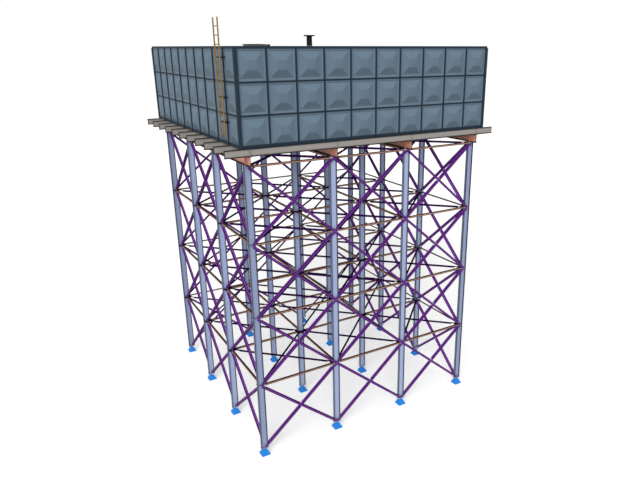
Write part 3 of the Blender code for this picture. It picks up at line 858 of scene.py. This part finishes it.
def stiffened_beam(section, box, along, across, stations):
    """A beam as long as a box, with a pair of web stiffeners at every station."""
    low, high = (np.array(corner) for corner in box)
    height = Z_AXIS * (low + high) / 2
    made = [beam(section, along * low + height, along * high + height, across, Z_AXIS,
                 END_BAND)]
    for station in stations:
        made += [placed(stiffener(section, way), along * station + height, across, Z_AXIS,
                        along) for way in (-1, 1)]
    return joined(made)


def make_beams():
    """The primary beams on the columns and the joists bolted across them."""
    low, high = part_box("primary_beam_1")
    primary = stiffened_beam(PRIMARY, (low, high), Y_AXIS, X_AXIS, COLUMN_YS)
    for number, x in enumerate(COLUMN_XS):
        node = "primary_beam_%d" % (number + 1)
        add_piece(node + "_steel", copies(primary, [(x, 0, 0)]), PRIMARY_PAINT, [node])
    low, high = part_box("joist_01")
    foot = low.z + JOIST["thickness"]
    spots = [(x + along, across, foot) for x in COLUMN_XS for across in (-0.045, 0.045)
             for along in (-0.055, 0.055)]
    joist = joined([stiffened_beam(JOIST, (low, high), X_AXIS, Y_AXIS, COLUMN_XS),
                    bolts(spots)])
    for number in range(11):
        node = "joist_%02d" % (number + 1)
        add_piece(node + "_steel", copies(joist, [(0, middle(node).y, 0)]), JOIST_PAINT, [node])


def pressing(inward):
    """How far the sheet stands out at a distance in from its panel's edge.

    Straight lines between the pressing's bends, each bend rounded by the mean of the line
    at the distance itself and, at half the weight, a little before and after it.
    """
    distances, heights = np.array(PRESS_LINE).T
    before, here, after = (np.interp(inward + step, distances, heights)
                           for step in (-PRESS_ROUNDING, 0.0, PRESS_ROUNDING))
    return (before + 2 * here + after) / 4


def half_panel_steps():
    """Distances in from a panel's edge: three at each bend, and the middle of the slope."""
    bends = np.array(PRESS_LINE[1:-1])[:, 0]
    near = (bends[:, None] + (-PRESS_ROUNDING, 0.0, PRESS_ROUNDING)).ravel()
    return np.sort(np.concatenate([near, [0.0, bends[1:].mean(), PANEL / 2]]))


def panel_steps(count):
    """Grid lines across a row of panels, closer together where the sheet bends."""
    half = half_panel_steps()
    one = np.concatenate([half, PANEL - half[-2:0:-1]])
    return np.append((np.arange(count)[:, None] * PANEL + one).ravel(), count * PANEL)


def panel_wall(half_length):
    """A wall of pressed panels in its (along, up, out) axes, from a grid of points.

    A point stands out by the pressing of its smallest distance to the panel's four edges.
    The cells on a panel's diagonals are split along the mitres.
    """
    u, v = panel_steps(PANELS_ACROSS), panel_steps(PANELS_UP)
    inward_u = np.minimum(u % PANEL, PANEL - u % PANEL)
    inward_v = np.minimum(v % PANEL, PANEL - v % PANEL)
    height = pressing(np.minimum(inward_u[:, None], inward_v[None, :]))
    across = np.clip(u - PANEL * PANELS_ACROSS / 2, -half_length, half_length)
    up = np.clip(v + TANK_BASE, WALL_BASE, WALL_TOP)
    across, up = np.meshgrid(across, up, indexing="ij")
    front = np.stack([across, up, height + TANK_HALF], axis=-1).reshape(-1, 3)
    back = front - (0, 0, SHEET)
    rows, columns = len(u), len(v)
    quads = grid_faces(rows, columns)
    steps = 2 * (len(half_panel_steps()) - 1)
    a = np.repeat(np.arange(rows - 1) % steps, columns - 1)
    b = np.tile(np.arange(columns - 1) % steps, rows - 1)
    rising, falling = quads[a == b], quads[a + b == steps - 1]
    plain = quads[(a != b) & (a + b != steps - 1)]
    halves = np.concatenate([rising[:, [0, 1, 2, 2]], rising[:, [0, 2, 3, 3]],
                             falling[:, [0, 1, 3, 3]], falling[:, [1, 2, 3, 3]]])
    number = np.arange(rows * columns).reshape(rows, columns)
    loop = np.concatenate([number[:-1, 0], number[-1, :-1], number[:0:-1, -1],
                           number[0, :0:-1]])
    beside = np.roll(loop, -1)
    shift = rows * columns
    rim = np.stack([loop, beside, beside + shift, loop + shift], axis=-1)
    faces = [plain, halves, plain[:, ::-1] + shift, halves[:, [1, 0, 2, 3]] + shift, rim]
    return np.concatenate([front, back]), np.concatenate(faces)


def rib_lines(half_base, half_top, height):
    """Both lines of a rib: a flat strip on the sheet, and the flanges that stand on it."""
    right = np.array([(half_base, 0), (half_base, 0.005), (half_base - 0.003, 0.008),
                      (half_top + 0.006, 0.009), (half_top + 0.001, 0.014),
                      (half_top, height - 0.003), (half_top - 0.003, height)])
    return right, right * (-1, 1)


def rib_bolts(start, end):
    """The places of a rib's bolts along a line, none of them where another seam crosses."""
    along = np.arange(start + RIB_BOLT_START, end, RIB_BOLT_PITCH)
    return along[np.abs((along + PANEL / 2) % PANEL - PANEL / 2) > SEAM_CLEARANCE]


def wall_ribs(inset):
    """The flanges along a wall's seams with their bolts, in its (along, up, out) axes.

    The level ones stop at inset from the tank's corners.
    """
    reach = TANK_HALF - inset
    seams = (np.arange(1, PANELS_ACROSS) - PANELS_ACROSS / 2) * PANEL
    rows = TANK_BASE + PANEL * np.arange(1, PANELS_UP)
    upright = bar(*rib_lines(0.040, 0.014, 0.048),
                  [(0, WALL_BASE, TANK_HALF), (0, WALL_TOP, TANK_HALF)], X_AXIS, Z_AXIS)
    made = [copies(upright, [(u, 0, 0) for u in seams])]
    made += [bar(*rib_lines(0.033, 0.012, 0.042),
                 [(-reach, z, TANK_HALF), (reach, z, TANK_HALF)], Y_AXIS, Z_AXIS)
             for z in rows]
    for way in (-1, 1):
        spots = [(u + way * 0.013, TANK_BASE + v, TANK_HALF + 0.030)
                 for u in seams for v in rib_bolts(0, PANEL * PANELS_UP)]
        made.append(bolts(spots, Y_AXIS, Z_AXIS, way * X_AXIS, SMALL_BOLT))
        spots = [(u, z + way * 0.011, TANK_HALF + 0.027)
                 for u in rib_bolts(-reach, reach) for z in rows]
        made.append(bolts(spots, X_AXIS, Z_AXIS, way * Y_AXIS, SMALL_BOLT))
    return joined(made)


def post_lines():
    """The outer and inner lines of a corner post, from its heel as the origin.

    The outer line is an angle's two faces with softened edges, and the inner line follows
    the two walls that the post stands on, half a millimetre inside their faces.
    """
    leg, deep, soft, ease = POST_LEG, POST_DEPTH - 0.0005, 0.004, 0.0003
    outer = [(leg, deep), (leg, soft), (leg - soft, 0), (soft, 0)]
    inner = [(leg - soft, deep + ease), (leg - 2 * soft, deep), ((leg + deep) / 2, deep),
             (deep + ease, deep)]
    return [np.array(line + [(v, u) for u, v in line[::-1]]) for line in (outer, inner)]


def hoop(outer, inner, half):
    """A profile carried round a square with mitred corners.

    A point is (a (half + u), b (half + u), v), where a and b are the corner's signs.
    """
    profile = np.concatenate([outer, inner[::-1]])
    signs = np.array([(-1, -1), (1, -1), (1, 1), (-1, 1)])
    reach = half + profile[:, 0]
    rings = np.stack([signs[:, :1] * reach, signs[:, 1:] * reach,
                      np.broadcast_to(profile[:, 1], (4, len(profile)))], axis=-1)
    return rings.reshape(-1, 3), grid_faces(4, len(profile), True, True)


def make_tank():
    """The pressed walls with ribs, corner posts and rims, and the roof's and floor's seams."""
    for quarter, name in enumerate(SIDES):
        node = "tank_wall_" + name
        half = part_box(node)[1].y if quarter % 2 else TANK_HALF
        add_piece(node + "_panels", on_side(panel_wall(half), quarter), TANK_PAINT, [node],
                  sharp=14.0)
        add_piece(node + "_ribs", on_side(wall_ribs(POST_LEG - POST_DEPTH), quarter), RIB_PAINT)

    trim = []
    for quarter in range(4):
        along, up, out = (np.array(axis) for axis in side_axes(quarter))
        heel = (along + out) * (TANK_HALF + POST_DEPTH)
        stations = [heel + up * WALL_BASE, heel + up * WALL_TOP]
        trim.append(bar(*post_lines(), stations, -along, -out))
    lower = np.array([(0.013, 0.0), (0.016, 0.003), (0.016, 0.122), (0.013, 0.125)])
    lower_in = lower * (0, 1) + (0.0005, 0)
    upper = [(0.021, -0.034), (0.024, -0.031), (0.024, 0.057), (0.021, 0.060), (0.013, 0.060),
             (0.010, 0.057), (0.010, 0.014), (0.006, 0.010), (-0.06, 0.010)]
    upper_in = [(0.0005, -0.034), (0.0005, 0.0005), (-0.06, 0.0005)]
    for outer, inner, height in ((lower, lower_in, TANK_BASE), (upper, upper_in, ROOF_TOP)):
        rim = hoop(np.array(outer), np.array(inner), TANK_HALF)
        trim.append(copies(rim, [(0, 0, height)]))
    add_piece("tank_rims_and_corners", joined(trim), RIB_PAINT)

    seam = rib_lines(0.035, 0.012, 0.03)
    roof_seams, floor_seams = [], []
    reach = TANK_HALF - 0.05
    bearing = JOIST["flange"] / 2 + 0.01
    for number in range(1, PANELS_ACROSS):
        place = PANEL * number - TANK_HALF
        roof_seams.append(bar(*seam, [(-reach, place, ROOF_TOP), (reach, place, ROOF_TOP)],
                              Y_AXIS, Z_AXIS))
        for gap in range(PANELS_ACROSS):
            near = PANEL * gap - TANK_HALF + bearing
            far = near + PANEL - 2 * bearing
            floor_seams.append(bar(*seam, [(place, near, TANK_BASE), (place, far, TANK_BASE)],
                                   X_AXIS, -Z_AXIS))
    add_piece("roof_seams", joined(roof_seams), RIB_PAINT)
    add_piece("floor_seams", joined(floor_seams), RIB_PAINT)
    for node in ("tank_floor", "tank_roof"):
        mesh = frame["nodes"][node].data
        mesh.materials.clear()
        mesh.materials.append(TANK_PAINT[0])


def make_ladder():
    """The ladder's soft-edged stringers and round rungs, and its black wall brackets."""
    low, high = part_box("ladder")
    centre_x = (low.x + high.x) / 2
    width, depth = 0.026, 0.052
    ladder = [block((centre_x - depth / 2, y - width / 2, low.z),
                    (centre_x + depth / 2, y + width / 2, high.z), 0.005)
              for y in (low.y + 0.015, high.y - 0.015)]
    for number in range(RUNGS):
        z = TANK_BASE + FIRST_RUNG + RUNG_PITCH * number
        points, faces = rod((centre_x, low.y + 0.004, z), (centre_x, high.y - 0.004, z), 0.016)
        # The rungs are darkened all over through the band's fourth number
        darkened_rung = np.pad(points, ((0, 0), (0, 1)), constant_values=RUNG_DARKENING)
        ladder.append((darkened_rung, faces))
    add_piece("ladder_steel", joined(ladder), LADDER_PAINT, ["ladder"])
    arm = 0.02
    for number in range(1, 4):
        node = "ladder_bracket_%d" % number
        low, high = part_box(node)
        made = [block((low.x, low.y, low.z), (high.x, low.y + arm, high.z), 0.003),
                block((low.x, high.y - arm, low.z), (high.x, high.y, high.z), 0.003),
                block((-TANK_HALF - 0.085, low.y + arm / 2, low.z + 0.003),
                      (-TANK_HALF - 0.065, high.y - arm / 2, high.z - 0.003), 0.003)]
        centre_z = (low.z + high.z) / 2
        spots = [(low.x + 0.04, low.y, centre_z), (high.x - 0.03, low.y, centre_z)]
        made.append(bolts(spots, X_AXIS, Z_AXIS, -Y_AXIS, SMALL_BOLT))
        add_piece(node + "_steel", joined(made), FITTING_PAINT, [node])


def make_hatch():
    """The hatch's round neck and hinge block, and the lid with its rim, ears and handle."""
    hinge_x, hinge_y, hinge_z = frame["joints"][0]["pos_m"]
    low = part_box("hatch_neck")[0]
    centre_x = low.x + NECK_RADIUS
    base, top = low.z, low.z + NECK_HEIGHT
    neck = turned([(0.42, base), (0.475, base), (0.475, base + 0.008), (0.463, base + 0.012),
                   (0.46, base + 0.02), (0.46, top - 0.004), (0.456, top), (0.424, top),
                   (0.42, top - 0.004)], ROUND_SIDES, open_middle=True)
    add_piece("hatch_neck_ring", copies(neck, [(centre_x, hinge_y, 0)]), NECK_PAINT,
              ["hatch_neck"])

    def pin(start, end, radius):
        """A round bar along the hinge, between two distances from its middle."""
        return rod((hinge_x, hinge_y + start, hinge_z), (hinge_x, hinge_y + end, hinge_z),
                   radius)

    near, far = hinge_y - HINGE_HALF, hinge_y + HINGE_HALF
    made = [block((centre_x + 0.445, near, base), (hinge_x + 0.02, far, top - 0.01), 0.004),
            block((hinge_x - 0.02, near, base + 0.001),
                  (hinge_x + 0.02, far, hinge_z + 0.02), 0.006),
            pin(-0.15, 0.15, 0.010), pin(-0.150, -0.158, 0.016), pin(0.150, 0.158, 0.016)]
    add_piece("hatch_hinge_steel", joined(made), FITTING_PAINT)

    under, over = hinge_z - LID_HALF, hinge_z + LID_HALF
    lid = turned([(0.480, under + 0.004), (0.505, under), (0.516, under + 0.002),
                  (0.52, under + 0.006), (0.52, under + 0.012), (0.514, under + 0.016),
                  (0.465, under + 0.018), (0.455, under + 0.022), (0.432, over + 0.006),
                  (0.420, over + 0.012), (0.20, over + 0.017), (0.05, over + 0.018)],
                 ROUND_SIDES)
    eye = turned([(0.0108, -0.015), (0.0108, 0.015), (0.024, 0.015), (0.026, 0.013),
                  (0.026, -0.013), (0.024, -0.015)], 32, open_middle=True)
    made = [copies(lid, [(centre_x, hinge_y, 0)])]
    handle_x, handle_z = centre_x - HANDLE_REACH, over + 0.008
    for way in (-1, 1):
        ear_y, post_y = hinge_y + way * 0.12, hinge_y + way * 0.07
        made.append(block((centre_x + 0.44, ear_y - 0.015, under + 0.001),
                          (hinge_x - 0.016, ear_y + 0.015, over - 0.001), 0.003))
        made.append(placed(eye, (hinge_x, ear_y, hinge_z), Z_AXIS, X_AXIS, Y_AXIS))
        made.append(rod((handle_x, post_y, under + 0.012), (handle_x, post_y, handle_z), 0.007))
    made.append(rod((handle_x, hinge_y - 0.08, handle_z), (handle_x, hinge_y + 0.08, handle_z),
                    0.007))
    add_piece("hatch_lid_steel", joined(made), FITTING_PAINT, ["hatch_lid"], body="lid")


def make_vent():
    """The vent: a tube in a paler collar, a wide flange on top, and the bolts of both."""
    low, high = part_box("vent_pipe")
    centre = middle("vent_pipe")
    base, top = low.z, high.z
    flange = top - VENT_FLANGE
    tube = turned([(0.105, base), (0.12, base), (0.12, flange - 0.006), (0.126, flange),
                   (0.236, flange), (0.24, flange + 0.004), (0.24, top - 0.004), (0.236, top),
                   (0.108, top), (0.105, top - 0.003)], ROUND_SIDES, open_middle=True)
    collar = turned([(0.1205, base), (0.175, base), (0.178, base + 0.003),
                     (0.178, base + 0.012), (0.175, base + 0.015), (0.134, base + 0.016),
                     (0.128, base + 0.022), (0.128, base + 0.082), (0.125, base + 0.086),
                     (0.1205, base + 0.086)], ROUND_SIDES, open_middle=True)
    angle = np.linspace(0, 2 * math.pi, 8, endpoint=False) + math.pi / 8
    ring = np.column_stack([np.cos(angle), np.sin(angle), np.zeros(8)])
    low_bolts = bolts(ring * 0.156 + Z_AXIS * (base + 0.015), size=SMALL_BOLT)
    high_bolts = bolts(ring * 0.195 + Z_AXIS * flange, third=-Z_AXIS, size=SMALL_BOLT)
    place = [(centre.x, centre.y, 0)]
    add_piece("vent_tube", copies(joined([tube, high_bolts]), place), FITTING_PAINT,
              ["vent_pipe"])
    add_piece("vent_collar", copies(joined([collar, low_bolts]), place), NECK_PAINT)


def make_studio():
    """A plain pale floor, soft light from behind the camera, and the camera itself."""
    scene = bpy.context.scene
    paint = Paint("floor_pale")
    paint.coat({"Base Color": (0.88, 0.88, 0.88, 1.0), "Roughness": 0.9,
                "Emission Color": (1.0, 1.0, 1.0, 1.0), "Emission Strength": FLOOR_GLOW})
    mesh = bpy.data.meshes.new("studio_floor")
    half, drop = 400.0, -0.002
    mesh.from_pydata([(-half, -half, drop), (half, -half, drop), (half, half, drop),
                      (-half, half, drop)], [], [(0, 1, 2, 3)])
    mesh.materials.append(paint.material)
    floor = bpy.data.objects.new("studio_floor", mesh)
    scene.collection.objects.link(floor)

    world = bpy.data.worlds.new("studio_air")
    scene.world = world
    world.use_nodes = True
    air = world.node_tree.nodes["Background"]
    air.inputs["Color"].default_value = (1.0, 1.0, 1.0, 1.0)
    seen = world.node_tree.nodes.new("ShaderNodeLightPath")
    strength = world.node_tree.nodes.new("ShaderNodeMapRange")
    strength.inputs["To Min"].default_value = FILL_LIGHT
    strength.inputs["To Max"].default_value = 1.0
    world.node_tree.links.new(seen.outputs["Is Camera Ray"], strength.inputs["Value"])
    world.node_tree.links.new(strength.outputs["Result"], air.inputs["Strength"])
    scene.view_settings.view_transform = "Standard"

    lamp = bpy.data.lights.new("soft_lamp", "SUN")
    lamp.energy = LAMP_POWER
    lamp.angle = math.radians(LAMP_SOFTNESS)
    holder = bpy.data.objects.new("soft_lamp", lamp)
    holder.rotation_euler = Vector(LAMP_DIRECTION).to_track_quat("-Z", "Y").to_euler()
    scene.collection.objects.link(holder)

    lens = bpy.data.cameras.new("camera")
    lens.sensor_width = 36.0
    lens.lens = CAMERA_LENS
    lens.shift_x, lens.shift_y = CAMERA_SHIFT
    lens.clip_end = 1000.0
    camera = bpy.data.objects.new("camera", lens)
    camera.location = CAMERA_PLACE
    camera.rotation_euler = Vector(CAMERA_VIEW).to_track_quat("-Z", "Y").to_euler()
    scene.collection.objects.link(camera)
    scene.camera = camera


make_studio()
make_columns()
make_feet()
make_sides()
make_levels()
make_beams()
make_tank()
make_ladder()
make_hatch()
make_vent()
